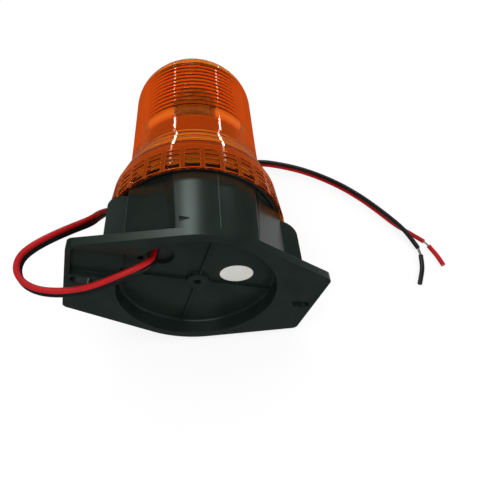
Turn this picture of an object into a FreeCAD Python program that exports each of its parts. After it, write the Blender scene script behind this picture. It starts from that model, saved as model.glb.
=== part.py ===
import FreeCAD, Part
import math
import os
import Sketcher

# Amber strobe beacon on a two-slot mounting base.
# Origin at the centre of the base's underside, Z along the lens axis, X along the two mounting wings.

doc = FreeCAD.newDocument("StrobeBeacon")

DIMENSIONS = [
    ("over_cut", 1.0),
    # mounting plate with its two wings
    ("drum_r", 47.0),
    ("wing_x", 66.7),
    ("wing_half_w", 25.15),
    ("wing_tangent_deg", 69.4),
    ("wing_corner_r", 3.5),
    ("plate_t", 4.85),
    ("slot_x", 58.5),
    ("slot_w", 5.6),
    ("slot_len", 11.0),
    ("wing_pocket_out_x", 64.2),
    ("wing_pocket_in_x", 39.6),
    ("wing_pocket_front_y", 24.2),
    ("wing_pocket_back_y", 3.6),
    ("wing_pocket_depth", 3.3),
    # drum above the plate
    ("drum_top", 43.0),
    ("drum_bore_r", 42.4),
    ("drum_floor", 9.0),
    ("drum_floor_top", 11.8),
    ("neck_r", 46.0),
    ("neck_top", 62.0),
    ("recess_r", 42.0),
    ("recess_foot_r", 1.5),
    ("ear_x", 51.2),
    ("ear_top", 37.5),
    ("ear_round", 9.0),
    ("ear_foot_r", 3.0),
    # flat panels between the raised middle panel and the ears, low and high corners
    ("panel_edge_low_x", 20.6),
    ("panel_edge_high_x", 22.1),
    ("panel_foot_low_x", 21.9),
    ("panel_foot_low_y", 39.2),
    ("panel_foot_high_x", 25.9),
    ("panel_foot_high_y", 36.6),
    ("panel_ear_x", 41.9),
    ("panel_clear", 75.0),
    ("panel_stock", 0.5),
    ("panel_edge_r", 1.2),
    ("key_notch_deg", -28.0),
    ("key_notch_left", 3.6),
    ("key_notch_right", 9.0),
    ("key_notch_low", 8.8),
    ("key_notch_high", 12.2),
    ("key_notch_tip", 10.4),
    ("key_notch_floor", 46.2),
    ("hub_r", 6.2),
    ("hub_low", 7.0),
    ("hub_hole_r", 2.0),
    ("rib_t", 1.2),
    ("rib_low", 7.5),
    ("wire_hole_x", -22.6),
    ("wire_hole_y", -16.0),
    ("wire_hole_r", 6.7),
    ("drain_x", -32.3),
    ("drain_y", -12.3),
    ("drain_r", 1.75),
    ("board_post_r", 3.0),
    ("board_post_ring", 36.0),
    ("board_post_top", 24.0),
    ("board_pilot_r", 1.2),
    ("board_pilot_depth", 9.0),
    # cover on the neck, whose tower carries the lamp column
    ("cover_plug_in_r", 39.0),
    ("cover_plug_r", 42.1),
    ("cover_plug_low", 58.0),
    ("cover_flange_r", 45.8),
    ("cover_top", 64.0),
    ("tower_r", 37.5),
    ("tower_wall", 2.0),
    ("tower_top", 103.0),
    ("deck_t", 2.0),
    ("deck_hole_r", 6.0),
    ("cover_screw_ring", 44.2),
    ("cover_screw_r", 1.2),
    ("cover_screw_head_r", 1.5),
    ("cover_screw_head_t", 1.2),
    ("cover_screw_len", 11.0),
    # lens
    ("lens_rim_r", 51.2),
    ("lens_rim_in_r", 50.0),
    ("lens_rim_z", 40.8),
    ("grip_top_r", 49.0),
    ("grip_top_z", 63.7),
    ("grip_wall", 1.6),
    ("band_r", 48.3),
    ("band_z", 64.5),
    ("band_pitch", 6.5),
    ("band_taper", 1.7),
    ("band_ledge", 0.5),
    ("band_count", 3),
    ("step_r", 41.1),
    ("step_z", 88.0),
    ("step_ledge", 0.4),
    ("ring_zone_r", 40.9),
    ("ring_zone_z", 110.5),
    ("lens_top", 181.0),
    ("shoulder_r", 23.0),
    ("lens_wall", 2.4),
    ("prism_pitch", 4.05),
    ("prism_depth", 1.0),
    ("prism_peak_share", 0.3),
    ("prism_count", 12),
    ("prism_overrun", 0.3),
    ("grip_count", 31),
    ("grip_phase_deg", -3.95),
    ("grip_w", 7.9),
    ("grip_depth", 0.9),
    ("grip_low", 1.1),
    ("grip_window_h", 4.4),
    ("grip_sill_h", 1.7),
    ("grip_bar_h", 2.15),
    ("grip_slit_h", 2.0),
    ("grip_plane_gap", 4.0),
    ("grip_slits", 3),
    ("seal_ring_r", 47.65),
    ("seal_cord_r", 1.6),
    ("seal_z", 44.65),
    # lamp column
    ("foot_r", 19.5),
    ("foot_t", 3.0),
    ("foot_bore_r", 6.0),
    ("foot_screw_ring", 16.9),
    ("foot_screw_r", 1.1),
    ("foot_screw_head_r", 2.1),
    ("foot_screw_head_t", 1.6),
    ("foot_screw_len", 6.0),
    ("column_r", 15.5),
    ("column_turn_deg", 13.0),
    ("column_bore_r", 6.0),
    ("stem_r", 9.0),
    ("head_low", 139.0),
    ("column_top", 170.0),
    ("column_cap_t", 2.0),
    ("led_board_w", 12.6),
    ("led_board_t", 1.2),
    ("led_board_low", 141.0),
    ("led_board_high", 168.0),
    ("led_rows", 3),
    ("led_side", 5.0),
    ("led_t", 1.6),
    ("glue_gap", 0.05),
    # driver board
    ("board_r", 39.0),
    ("board_t", 1.6),
    ("board_screw_head_r", 2.6),
    ("board_screw_head_t", 1.9),
    ("board_screw_r", 1.15),
    ("board_screw_len", 8.0),
    ("board_wire_gap_r", 7.0),
    ("cap_r", 6.3),
    ("cap_h", 20.0),
    ("cap_a_x", 13.0),
    ("cap_a_y", 18.0),
    ("cap_b_x", -6.0),
    ("cap_b_y", 24.0),
    ("choke_r", 7.0),
    ("choke_wound_r", 3.2),
    ("choke_x", 19.0),
    ("choke_y", -10.0),
    ("chip_len", 9.0),
    ("chip_w", 7.0),
    ("chip_h", 2.0),
    ("chip_x", -24.0),
    ("chip_y", 6.0),
    ("transistor_len", 10.0),
    ("transistor_w", 4.5),
    ("transistor_h", 14.0),
    ("transistor_x", 0.0),
    ("transistor_y", -32.0),
    ("terminal_len", 10.0),
    ("terminal_w", 10.0),
    ("terminal_h", 9.0),
    ("terminal_x", -13.0),
    ("terminal_y", -23.0),
    ("terminal_entry_r", 1.3),
    ("terminal_entry_len", 5.0),
    ("terminal_entry_pitch", 5.0),
    ("terminal_stop", 1.5),
    # lead
    ("grommet_r", 9.0),
    ("grommet_t", 2.5),
    ("grommet_spigot_r", 5.2),
    ("grommet_top", 20.0),
    ("wire_d", 3.0),
    ("pair_pitch", 3.06),
    ("inner_lead_d", 2.2),
    ("inner_lead_pitch", 3.2),
    ("inner_lead_drop", 3.5),
    ("inner_lead_run", 4.0),
    ("lamp_lead_r", 0.8),
    ("lamp_lead_above", 8.0),
    ("lamp_lead_x", 2.5),
    ("red_strand_d", 1.3),
    ("black_strand_d", 1.9),
    # blank oval sticker on the recess floor
    ("label_x", 19.2),
    ("label_y", -9.3),
    ("label_half_len", 9.0),
    ("label_half_w", 7.0),
    ("label_t", 0.15),
    ("label_turn_deg", -13.0),
]

sheet = doc.addObject("Spreadsheet::Sheet", "Dimensions")
for row, (alias, value) in enumerate(DIMENSIONS, start=1):
    sheet.set("A%d" % row, alias)
    sheet.set("B%d" % row, str(value))
    sheet.setAlias("B%d" % row, alias)
doc.recompute()


def expr(text):
    """A formula on the sheet's names, written with D. before each name."""
    return text.replace("D.", "Dimensions.")


def val(text):
    """The present value of such a formula."""
    return float(sheet.evalExpression(expr(text)))


def new_body(label):
    body = doc.addObject("PartDesign::Body", label)
    body.Label = label
    return body


def origin_part(body, role):
    for feature in body.Origin.OriginFeatures:
        if feature.Role == role:
            return feature
    raise ValueError(role)


def sketch_on(body, role, name, offset=None):
    """A sketch on one of the body's own planes, moved along its normal by a formula."""
    sketch = body.newObject("Sketcher::SketchObject", name)
    sketch.AttachmentSupport = [(origin_part(body, role), "")]
    sketch.MapMode = "FlatFace"
    if offset is not None:
        sketch.setExpression("AttachmentOffset.Base.z", expr(offset))
    return sketch


def face_outward(sketch, azimuth, point, slope):
    """Turn a sketch on the XZ plane to an azimuth, with its origin at the point and leaning in by the slope."""
    on_plane = FreeCAD.Placement(FreeCAD.Vector(), FreeCAD.Rotation(FreeCAD.Vector(1, 0, 0), 90))
    leaning = FreeCAD.Placement(point, FreeCAD.Rotation(FreeCAD.Vector(1, 0, 0), 90 - slope))
    turn = FreeCAD.Placement(FreeCAD.Vector(), FreeCAD.Rotation(FreeCAD.Vector(0, 0, 1), val(azimuth)))
    sketch.AttachmentOffset = on_plane.inverse() * turn * leaning


def hold(sketch, kind, geometry, formula, point=None):
    """One driven measure: a radius, or a point's distance from the origin along an axis."""
    start = val(formula)
    if kind == "Radius":
        index = sketch.addConstraint(Sketcher.Constraint(kind, geometry, start))
    else:
        index = sketch.addConstraint(Sketcher.Constraint(kind, -1, 1, geometry, point, start))
    sketch.setExpression("Constraints[%d]" % index, expr(formula))


def add_circle(sketch, radius, x="0", y="0"):
    centre = FreeCAD.Vector(val(x), val(y), 0)
    circle = sketch.addGeometry(Part.Circle(centre, FreeCAD.Vector(0, 0, 1), val(radius)))
    hold(sketch, "Radius", circle, radius)
    hold(sketch, "DistanceX", circle, x, 3)
    hold(sketch, "DistanceY", circle, y, 3)


def add_outline(sketch, corners, shoulder=None, radius=None):
    """A closed outline; every corner is a pair of formulas.

    The corner numbered shoulder, between an upright and a level edge, is rounded by the radius formula.
    """
    points = [FreeCAD.Vector(val(x), val(y), 0) for x, y in corners]
    starts = list(points)
    ends = points[1:] + points[:1]
    if shoulder is not None:
        corner = points[shoulder]
        reach = val(radius)
        below = corner + (points[shoulder - 1] - corner).normalize() * reach
        beside = corner + (points[shoulder + 1] - corner).normalize() * reach
        middle = below + beside - corner
        bulge = middle + (corner - middle).normalize() * reach
        starts[shoulder] = beside
        ends[shoulder - 1] = below
    lines = [sketch.addGeometry(Part.LineSegment(start, end)) for start, end in zip(starts, ends)]
    for number, line in enumerate(lines):
        following = (number + 1) % len(lines)
        if following == shoulder:
            arc = sketch.addGeometry(Part.Arc(below, bulge, beside))
            sketch.addConstraint(Sketcher.Constraint("Vertical", line))
            sketch.addConstraint(Sketcher.Constraint("Horizontal", lines[following]))
            sketch.addConstraint(Sketcher.Constraint("Tangent", line, 2, arc, 1))
            sketch.addConstraint(Sketcher.Constraint("Tangent", arc, 2, lines[following], 1))
            hold(sketch, "Radius", arc, radius)
        else:
            sketch.addConstraint(Sketcher.Constraint("Coincident", line, 2, lines[following], 1))
    for number, (x, y) in enumerate(corners):
        if number != shoulder:
            hold(sketch, "DistanceX", lines[number], x, 1)
            hold(sketch, "DistanceY", lines[number], y, 1)


def add_rectangle(sketch, x0, y0, x1, y1):
    add_outline(sketch, [(x0, y0), (x1, y0), (x1, y1), (x0, y1)])


def add_slot(sketch, x, length, width):
    """A round-ended slot along X."""
    reach = "(%s - %s) / 2" % (length, width)
    radius = val(width + " / 2")
    left = FreeCAD.Vector(val("%s - %s" % (x, reach)), 0, 0)
    right = FreeCAD.Vector(val("%s + %s" % (x, reach)), 0, 0)
    up = FreeCAD.Vector(0, radius, 0)
    normal = FreeCAD.Vector(0, 0, 1)
    quarter = math.pi / 2
    left_end = Part.ArcOfCircle(Part.Circle(left, normal, radius), quarter, 3 * quarter)
    right_end = Part.ArcOfCircle(Part.Circle(right, normal, radius), -quarter, quarter)
    low = Part.LineSegment(left - up, right - up)
    high = Part.LineSegment(right + up, left + up)
    left_end, low, right_end, high = sketch.addGeometry([left_end, low, right_end, high])
    sketch.addConstraint(Sketcher.Constraint("Tangent", left_end, 2, low, 1))
    sketch.addConstraint(Sketcher.Constraint("Tangent", low, 2, right_end, 1))
    sketch.addConstraint(Sketcher.Constraint("Tangent", right_end, 2, high, 1))
    sketch.addConstraint(Sketcher.Constraint("Tangent", high, 2, left_end, 1))
    hold(sketch, "DistanceX", left_end, "%s - %s" % (x, reach), 3)
    hold(sketch, "DistanceX", right_end, "%s + %s" % (x, reach), 3)
    hold(sketch, "DistanceY", left_end, "0", 3)
    hold(sketch, "DistanceY", right_end, "0", 3)
    hold(sketch, "Radius", left_end, width + " / 2")


def pad(body, sketch, length, name, midplane=False, down=False):
    feature = body.newObject("PartDesign::Pad", name)
    feature.Profile = sketch
    feature.setExpression("Length", expr(length))
    feature.Midplane = midplane
    feature.Reversed = down
    sketch.Visibility = False
    doc.recompute()
    return feature


def pocket(body, sketch, length, name, midplane=False, up=False, through=False):
    feature = body.newObject("PartDesign::Pocket", name)
    feature.Profile = sketch
    if through:
        feature.Type = "ThroughAll"
    else:
        feature.setExpression("Length", expr(length))
    feature.Midplane = midplane
    feature.Reversed = up
    sketch.Visibility = False
    doc.recompute()
    return feature


def turned(body, sketch, name, kind="PartDesign::Revolution"):
    """A full turn of a half section about the body's own Z axis."""
    feature = body.newObject(kind, name)
    feature.Profile = sketch
    feature.ReferenceAxis = (origin_part(body, "Z_Axis"), [""])
    feature.Angle = 360
    sketch.Visibility = False
    doc.recompute()
    return feature


def polar(body, features, count, name):
    feature = body.newObject("PartDesign::PolarPattern", name)
    feature.Originals = features
    feature.Axis = (origin_part(body, "Z_Axis"), [""])
    feature.Angle = 360
    feature.setExpression("Occurrences", expr(count))
    body.Tip = feature
    doc.recompute()
    return feature


def stacked(body, features, span, count, name):
    feature = body.newObject("PartDesign::LinearPattern", name)
    feature.Originals = features
    feature.Direction = (origin_part(body, "Z_Axis"), [""])
    feature.setExpression("Length", expr(span))
    feature.setExpression("Occurrences", expr(count))
    body.Tip = feature
    doc.recompute()
    return feature


def edges_where(feature, test):
    names = []
    for number, edge in enumerate(feature.Shape.Edges, start=1):
        if test(edge):
            names.append("Edge%d" % number)
    return names


def rounded(body, feature, test, radius, name):
    """A fillet on the edges of the feature that pass the test."""
    fillet = body.newObject("PartDesign::Fillet", name)
    fillet.Base = (feature, edges_where(feature, test))
    fillet.setExpression("Radius", expr(radius))
    body.Tip = fillet
    doc.recompute()
    return fillet


def spans_z(edge, low, high):
    box = edge.BoundBox
    return abs(box.ZMin - low) < 0.01 and abs(box.ZMax - high) < 0.01


def box_at(label, size, corner):
    """A block from size formulas and a corner given by formulas."""
    block = doc.addObject("Part::Box", label)
    for side, formula in zip(("Length", "Width", "Height"), size):
        block.setExpression(side, expr(formula))
    for axis, formula in zip("xyz", corner):
        block.setExpression("Placement.Base." + axis, expr(formula))
    return block


def rod_at(label, radius, height, base):
    """An upright cylinder from formulas."""
    rod = doc.addObject("Part::Cylinder", label)
    rod.setExpression("Radius", expr(radius))
    rod.setExpression("Height", expr(height))
    for axis, formula in zip("xyz", base):
        rod.setExpression("Placement.Base." + axis, expr(formula))
    return rod


def joined(label, pieces, kind="Part::Compound"):
    group = doc.addObject(kind, label)
    if kind == "Part::Compound":
        group.Links = pieces
    else:
        group.Shapes = pieces
    group.Label = label
    doc.recompute()
    return group


def screw_set(label, count, ring, seat, head, shank):
    """Equal screws on a circle; seat is the height under the heads, head and shank are radius and length."""
    screws = []
    for index in range(count):
        x = "%s * cos(%d * 360deg / %d)" % (ring, index, count)
        y = "%s * sin(%d * 360deg / %d)" % (ring, index, count)
        top = rod_at("%s_head%d" % (label, index), head[0], head[1], (x, y, seat))
        low = "%s - %s" % (seat, shank[1])
        stem = rod_at("%s_stem%d" % (label, index), shank[0], shank[1], (x, y, low))
        screws.append(joined("%s_%d" % (label, index), [top, stem], "Part::MultiFuse"))
    return joined(label, screws)


nodes = []

# Base housing: plate with wings, drum and neck, ear blocks, flat panels

base = new_body("base_housing")
nodes.append(base)
outline = sketch_on(base, "XY_Plane", "PlateOutline")
tangent_x = "D.drum_r * cos(D.wing_tangent_deg * 1deg)"
tangent_y = "D.drum_r * sin(D.wing_tangent_deg * 1deg)"
add_outline(outline, [
    ("D.wing_x", "-D.wing_half_w"),
    ("D.wing_x", "D.wing_half_w"),
    (tangent_x, tangent_y),
    ("-" + tangent_x, tangent_y),
    ("-D.wing_x", "D.wing_half_w"),
    ("-D.wing_x", "-D.wing_half_w"),
    ("-" + tangent_x, "-" + tangent_y),
    (tangent_x, "-" + tangent_y),
])
plate = pad(base, outline, "D.plate_t", "Plate")
plate = rounded(
    base,
    plate,
    lambda edge: spans_z(edge, 0, val("D.plate_t"))
    and abs(abs(edge.BoundBox.Center.x) - val("D.wing_x")) < 0.01,
    "D.wing_corner_r",
    "WingCorners",
)

drum_sketch = sketch_on(base, "XY_Plane", "DrumCircle")
add_circle(drum_sketch, "D.drum_r")
pad(base, drum_sketch, "D.drum_top", "Drum")
neck_sketch = sketch_on(base, "XY_Plane", "NeckCircle")
add_circle(neck_sketch, "D.neck_r")
pad(base, neck_sketch, "D.neck_top", "Neck")

ear_sketch = sketch_on(base, "XZ_Plane", "EarOutline")
add_rectangle(ear_sketch, "-D.ear_x", "D.wing_pocket_depth", "D.ear_x", "D.ear_top")
ears = pad(base, ear_sketch, "2 * D.wing_half_w", "Ears", midplane=True)
rounded(
    base,
    ears,
    lambda edge: spans_z(edge, val("D.ear_top"), val("D.ear_top"))
    and abs(abs(edge.BoundBox.Center.x) - val("D.ear_x")) < 0.01,
    "D.ear_round",
    "EarShoulders",
)

# The drum is wider than its circle where the flat panels run out to the ears
block_sketch = sketch_on(base, "XY_Plane", "PanelBlock", "D.wing_pocket_depth")
block_corners = [
    ("D.panel_ear_x", "D.wing_half_w"),
    ("D.panel_foot_low_x", "D.panel_foot_low_y + D.panel_stock"),
]
add_outline(block_sketch, [
    block_corners[0],
    block_corners[1],
    ("-" + block_corners[1][0], block_corners[1][1]),
    ("-" + block_corners[0][0], block_corners[0][1]),
    ("-" + block_corners[0][0], "-" + block_corners[0][1]),
    ("-" + block_corners[1][0], "-(%s)" % block_corners[1][1]),
    (block_corners[1][0], "-(%s)" % block_corners[1][1]),
    (block_corners[0][0], "-" + block_corners[0][1]),
])
pad(base, block_sketch, "D.drum_top - D.wing_pocket_depth", "PanelBlocks")


def panel_section(name, side_x, side_y, height, edge_x, foot_x, foot_y):
    """The sunk panel's section at one height: side wall, flat, ear front and clear space outside."""
    edge_y = "sqrt(D.drum_r ^ 2 - %s ^ 2)" % edge_x
    beyond_x = "(2 * %s - %s)" % (edge_x, foot_x)
    beyond_y = "(2 * %s - %s)" % (edge_y, foot_y)
    corners = [
        (foot_x, foot_y),
        (beyond_x, beyond_y),
        (beyond_x, "D.panel_clear"),
        ("D.panel_clear", "D.panel_clear"),
        ("D.panel_clear", "D.wing_half_w"),
        ("D.panel_ear_x", "D.wing_half_w"),
    ]
    section = sketch_on(base, "XY_Plane", name, height)
    add_outline(section, [("%d * %s" % (side_x, x), "%d * %s" % (side_y, y)) for x, y in corners])
    return section


for number, (side_x, side_y) in enumerate([(-1, -1), (1, -1), (1, 1), (-1, 1)]):
    low = panel_section("PanelLow%d" % number, side_x, side_y, "D.plate_t",
                        "D.panel_edge_low_x", "D.panel_foot_low_x", "D.panel_foot_low_y")
    high = panel_section("PanelHigh%d" % number, side_x, side_y, "D.drum_top",
                         "D.panel_edge_high_x", "D.panel_foot_high_x", "D.panel_foot_high_y")
    panel_cut = base.newObject("PartDesign::SubtractiveLoft", "SunkPanel%d" % number)
    panel_cut.Profile = low
    panel_cut.Sections = [high]
    panel_cut.Ruled = True
    low.Visibility = False
    high.Visibility = False
    base.Tip = panel_cut
    doc.recompute()


def is_panel_edge(edge):
    """The edge where a panel's side wall meets the raised middle panel, both ends on the drum's circle."""
    on_circle = [abs(math.hypot(v.X, v.Y) - val("D.drum_r")) < 0.01 for v in edge.Vertexes]
    return spans_z(edge, val("D.plate_t"), val("D.drum_top")) and all(on_circle)


panel_edges = rounded(base, base.Tip, is_panel_edge, "D.panel_edge_r", "PanelEdges")
rounded(
    base,
    panel_edges,
    lambda edge: spans_z(edge, val("D.plate_t"), val("D.plate_t"))
    and abs(abs(edge.BoundBox.Center.x) - val("D.ear_x")) < 0.01,
    "D.ear_foot_r",
    "EarFeet",
)

# Hollows of the drum, hub with its ribs, holes in the floor

recess_sketch = sketch_on(base, "XY_Plane", "RecessCircle")
add_circle(recess_sketch, "D.recess_r")
recess = pocket(base, recess_sketch, "D.drum_floor", "Recess", up=True)
rounded(
    base,
    recess,
    lambda edge: spans_z(edge, val("D.drum_floor"), val("D.drum_floor")),
    "D.recess_foot_r",
    "RecessFoot",
)

# The left wing's hollow opens into the recess, where the lead passes
wing_sketch = sketch_on(base, "XY_Plane", "WingHollowOutline")
add_rectangle(
    wing_sketch,
    "-D.wing_pocket_out_x",
    "-D.wing_pocket_front_y",
    "-D.wing_pocket_in_x",
    "-D.wing_pocket_back_y",
)
pocket(base, wing_sketch, "D.wing_pocket_depth", "WingHollow", up=True)

bore_sketch = sketch_on(base, "XY_Plane", "BoreCircle", "D.neck_top")
add_circle(bore_sketch, "D.drum_bore_r")
pocket(base, bore_sketch, "D.neck_top - D.drum_floor_top", "DrumBore")

for turn, (reach_x, reach_y) in enumerate([("D.recess_r", "D.rib_t / 2"), ("D.rib_t / 2", "D.recess_r")]):
    rib_sketch = sketch_on(base, "XY_Plane", "RibStrip%d" % turn, "D.rib_low")
    add_rectangle(rib_sketch, "-(%s)" % reach_x, "-(%s)" % reach_y, reach_x, reach_y)
    pad(base, rib_sketch, "D.drum_floor - D.rib_low", "Rib%d" % turn)

hub_sketch = sketch_on(base, "XY_Plane", "HubCircle", "D.hub_low")
add_circle(hub_sketch, "D.hub_r")
pad(base, hub_sketch, "D.drum_floor - D.hub_low", "Hub")

post_sketch = sketch_on(base, "XY_Plane", "BoardPostCircle", "D.drum_floor_top")
add_circle(post_sketch, "D.board_post_r", "D.board_post_ring")
post = pad(base, post_sketch, "D.board_post_top - D.drum_floor_top", "BoardPost")
polar(base, [post], "3", "BoardPosts")
pilot_sketch = sketch_on(base, "XY_Plane", "BoardPilotCircle", "D.board_post_top")
add_circle(pilot_sketch, "D.board_pilot_r", "D.board_post_ring")
pilot = pocket(base, pilot_sketch, "D.board_pilot_depth", "BoardPilot")
polar(base, [pilot], "3", "BoardPilots")

cover_pilot_sketch = sketch_on(base, "XY_Plane", "CoverPilotCircle", "D.neck_top")
add_circle(cover_pilot_sketch, "D.cover_screw_r + D.glue_gap", "D.cover_screw_ring")
cover_pilot = pocket(base, cover_pilot_sketch, "D.cover_screw_len", "CoverPilot")
polar(base, [cover_pilot], "4", "CoverPilots")

floor_sketch = sketch_on(base, "XY_Plane", "FloorHoles")
add_circle(floor_sketch, "D.wire_hole_r", "D.wire_hole_x", "D.wire_hole_y")
add_circle(floor_sketch, "D.drain_r", "D.drain_x", "D.drain_y")
add_circle(floor_sketch, "D.hub_hole_r")
pocket(base, floor_sketch, "D.drum_floor_top + D.over_cut", "FloorCuts", up=True)

slot_sketch = sketch_on(base, "XY_Plane", "WingSlots")
add_slot(slot_sketch, "D.slot_x", "D.slot_len", "D.slot_w")
add_slot(slot_sketch, "-D.slot_x", "D.slot_len", "D.slot_w")
pocket(base, slot_sketch, "D.plate_t + D.over_cut", "SlotCuts", up=True)

notch_sketch = sketch_on(base, "XZ_Plane", "KeyNotchOutline")
face_outward(notch_sketch, "D.key_notch_deg", FreeCAD.Vector(0, -val("D.drum_r + D.over_cut"), 0), 0)
add_outline(notch_sketch, [
    ("D.key_notch_left", "D.key_notch_low"),
    ("D.key_notch_right", "D.key_notch_tip"),
    ("D.key_notch_left", "D.key_notch_high"),
])
pocket(base, notch_sketch, "D.drum_r + D.over_cut - D.key_notch_floor", "KeyNotch")

# Cover: plug, flange, tower and deck in one turning

cover = new_body("drum_cover")
nodes.append(cover)
cover_half = sketch_on(cover, "XZ_Plane", "CoverHalf")
add_outline(cover_half, [
    ("D.deck_hole_r", "D.tower_top - D.deck_t"),
    ("D.tower_r - D.tower_wall", "D.tower_top - D.deck_t"),
    ("D.tower_r - D.tower_wall", "D.neck_top"),
    ("D.cover_plug_in_r", "D.neck_top"),
    ("D.cover_plug_in_r", "D.cover_plug_low"),
    ("D.cover_plug_r", "D.cover_plug_low"),
    ("D.cover_plug_r", "D.neck_top"),
    ("D.cover_flange_r", "D.neck_top"),
    ("D.cover_flange_r", "D.cover_top"),
    ("D.tower_r", "D.cover_top"),
    ("D.tower_r", "D.tower_top"),
    ("D.deck_hole_r", "D.tower_top"),
])
turned(cover, cover_half, "CoverTurned")
screw_way = sketch_on(cover, "XY_Plane", "ScrewWayCircle", "D.cover_top")
add_circle(screw_way, "D.cover_screw_r + D.glue_gap", "D.cover_screw_ring")
screw_cut = pocket(cover, screw_way, "D.cover_top - D.neck_top + D.over_cut", "ScrewWay")
polar(cover, [screw_cut], "4", "ScrewWays")
head_seat = sketch_on(cover, "XY_Plane", "ScrewSeatCircle", "D.cover_top")
add_circle(head_seat, "D.cover_screw_head_r + D.glue_gap", "D.cover_screw_ring")
seat_cut = pocket(cover, head_seat, "D.cover_screw_head_t", "ScrewSeat")
polar(cover, [seat_cut], "4", "ScrewSeats")
foot_pilot_sketch = sketch_on(cover, "XY_Plane", "FootPilotCircle", "D.tower_top")
add_circle(foot_pilot_sketch, "D.foot_screw_r + D.glue_gap", "D.foot_screw_ring")
foot_pilot = pocket(cover, foot_pilot_sketch, "D.deck_t + D.over_cut", "FootPilot")
polar(cover, [foot_pilot], "3", "FootPilots")

nodes.append(screw_set(
    "cover_screws",
    4,
    "D.cover_screw_ring",
    "D.cover_top - D.cover_screw_head_t",
    ("D.cover_screw_head_r", "D.cover_screw_head_t"),
    ("D.cover_screw_r", "D.cover_screw_len"),
))

# Lens: turned outside with its stepped bands, turned hollow, prism rings and the gridded grip

lens = new_body("lens")
nodes.append(lens)
lens_half = sketch_on(lens, "XZ_Plane", "LensHalf")
lens_corners = [
    ("0", "D.lens_rim_z"),
    ("D.lens_rim_r", "D.lens_rim_z"),
    ("D.grip_top_r", "D.grip_top_z"),
]
for band in range(int(val("D.band_count"))):
    band_low_r = "D.band_r - %d * (D.band_taper + D.band_ledge)" % band
    band_low_z = "D.band_z + %d * D.band_pitch" % band
    lens_corners.append((band_low_r, band_low_z))
    lens_corners.append((band_low_r + " - D.band_taper", band_low_z + " + D.band_pitch"))
bands_end_r = "D.band_r - D.band_count * (D.band_taper + D.band_ledge)"
bands_end_z = "D.band_z + D.band_count * D.band_pitch"
lens_corners += [
    (bands_end_r, bands_end_z),
    ("D.step_r + D.step_ledge", "D.step_z"),
    ("D.step_r", "D.step_z"),
    ("D.ring_zone_r", "D.ring_zone_z"),
    ("D.ring_zone_r", "D.lens_top"),
    ("0", "D.lens_top"),
]
add_outline(lens_half, lens_corners, shoulder=len(lens_corners) - 2, radius="D.shoulder_r")
turned(lens, lens_half, "LensOutside")
hollow = sketch_on(lens, "XZ_Plane", "LensHollowHalf")
add_outline(hollow, [
    ("0", "D.lens_rim_z"),
    ("D.lens_rim_in_r", "D.lens_rim_z"),
    ("D.grip_top_r - D.grip_wall", "D.grip_top_z"),
    (bands_end_r + " - D.lens_wall", bands_end_z),
    ("D.ring_zone_r - D.lens_wall", "D.ring_zone_z"),
    ("D.ring_zone_r - D.lens_wall", "D.lens_top - D.lens_wall"),
    ("0", "D.lens_top - D.lens_wall"),
], shoulder=5, radius="D.shoulder_r - D.lens_wall")
turned(lens, hollow, "LensHollow", "PartDesign::Groove")

prism = sketch_on(lens, "XZ_Plane", "PrismGroove")
prism_low = "D.ring_zone_z"
add_outline(prism, [
    ("D.ring_zone_r + D.prism_overrun", prism_low),
    ("D.ring_zone_r + D.prism_overrun", prism_low + " + D.prism_pitch"),
    ("D.ring_zone_r", prism_low + " + D.prism_pitch"),
    ("D.ring_zone_r - D.prism_depth", prism_low + " + D.prism_pitch * D.prism_peak_share"),
    ("D.ring_zone_r", prism_low),
])
prism_cut = turned(lens, prism, "PrismRing", "PartDesign::Groove")
stacked(lens, [prism_cut], "D.prism_pitch * (D.prism_count - 1)", "D.prism_count", "PrismRings")

# One grip cell lies on a plane parallel to the grip's slope: a window above the rim, then three slits
grip_slope = val("atan((D.lens_rim_r - D.grip_top_r) / (D.grip_top_z - D.lens_rim_z))")
grip_sketch = sketch_on(lens, "XZ_Plane", "GripCell")
rim_point = FreeCAD.Vector(0, -val("D.lens_rim_r + D.grip_plane_gap"), val("D.lens_rim_z"))
face_outward(grip_sketch, "D.grip_phase_deg", rim_point, grip_slope)
add_rectangle(grip_sketch, "-D.grip_w / 2", "D.grip_low", "D.grip_w / 2", "D.grip_low + D.grip_window_h")
for slit in range(int(val("D.grip_slits"))):
    low = "D.grip_low + D.grip_window_h + D.grip_sill_h + %d * (D.grip_slit_h + D.grip_bar_h)" % slit
    add_rectangle(grip_sketch, "-D.grip_w / 2", low, "D.grip_w / 2", low + " + D.grip_slit_h")
grip_cut = pocket(lens, grip_sketch, "D.grip_plane_gap + D.grip_depth", "GripCellCut")
polar(lens, [grip_cut], "D.grip_count", "Grip")

seal = doc.addObject("Part::Torus", "lens_seal")
seal.Label = "lens_seal"
seal.setExpression("Radius1", expr("D.seal_ring_r"))
seal.setExpression("Radius2", expr("D.seal_cord_r"))
seal.setExpression("Placement.Base.z", expr("D.seal_z"))
nodes.append(seal)

# Lamp column: foot, stem with a hexagonal head, six LED strips

foot = new_body("column_foot")
nodes.append(foot)
foot_sketch = sketch_on(foot, "XY_Plane", "FootCircles", "D.tower_top")
add_circle(foot_sketch, "D.foot_r")
add_circle(foot_sketch, "D.foot_bore_r")
pad(foot, foot_sketch, "D.foot_t", "FootDisc")
foot_way = sketch_on(foot, "XY_Plane", "FootWayCircle", "D.tower_top + D.foot_t")
add_circle(foot_way, "D.foot_screw_r + D.glue_gap", "D.foot_screw_ring")
foot_cut = pocket(foot, foot_way, "D.foot_t + D.over_cut", "FootWay")
polar(foot, [foot_cut], "3", "FootWays")
nodes.append(screw_set(
    "foot_screws",
    3,
    "D.foot_screw_ring",
    "D.tower_top + D.foot_t",
    ("D.foot_screw_head_r", "D.foot_screw_head_t"),
    ("D.foot_screw_r", "D.foot_screw_len"),
))

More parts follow.
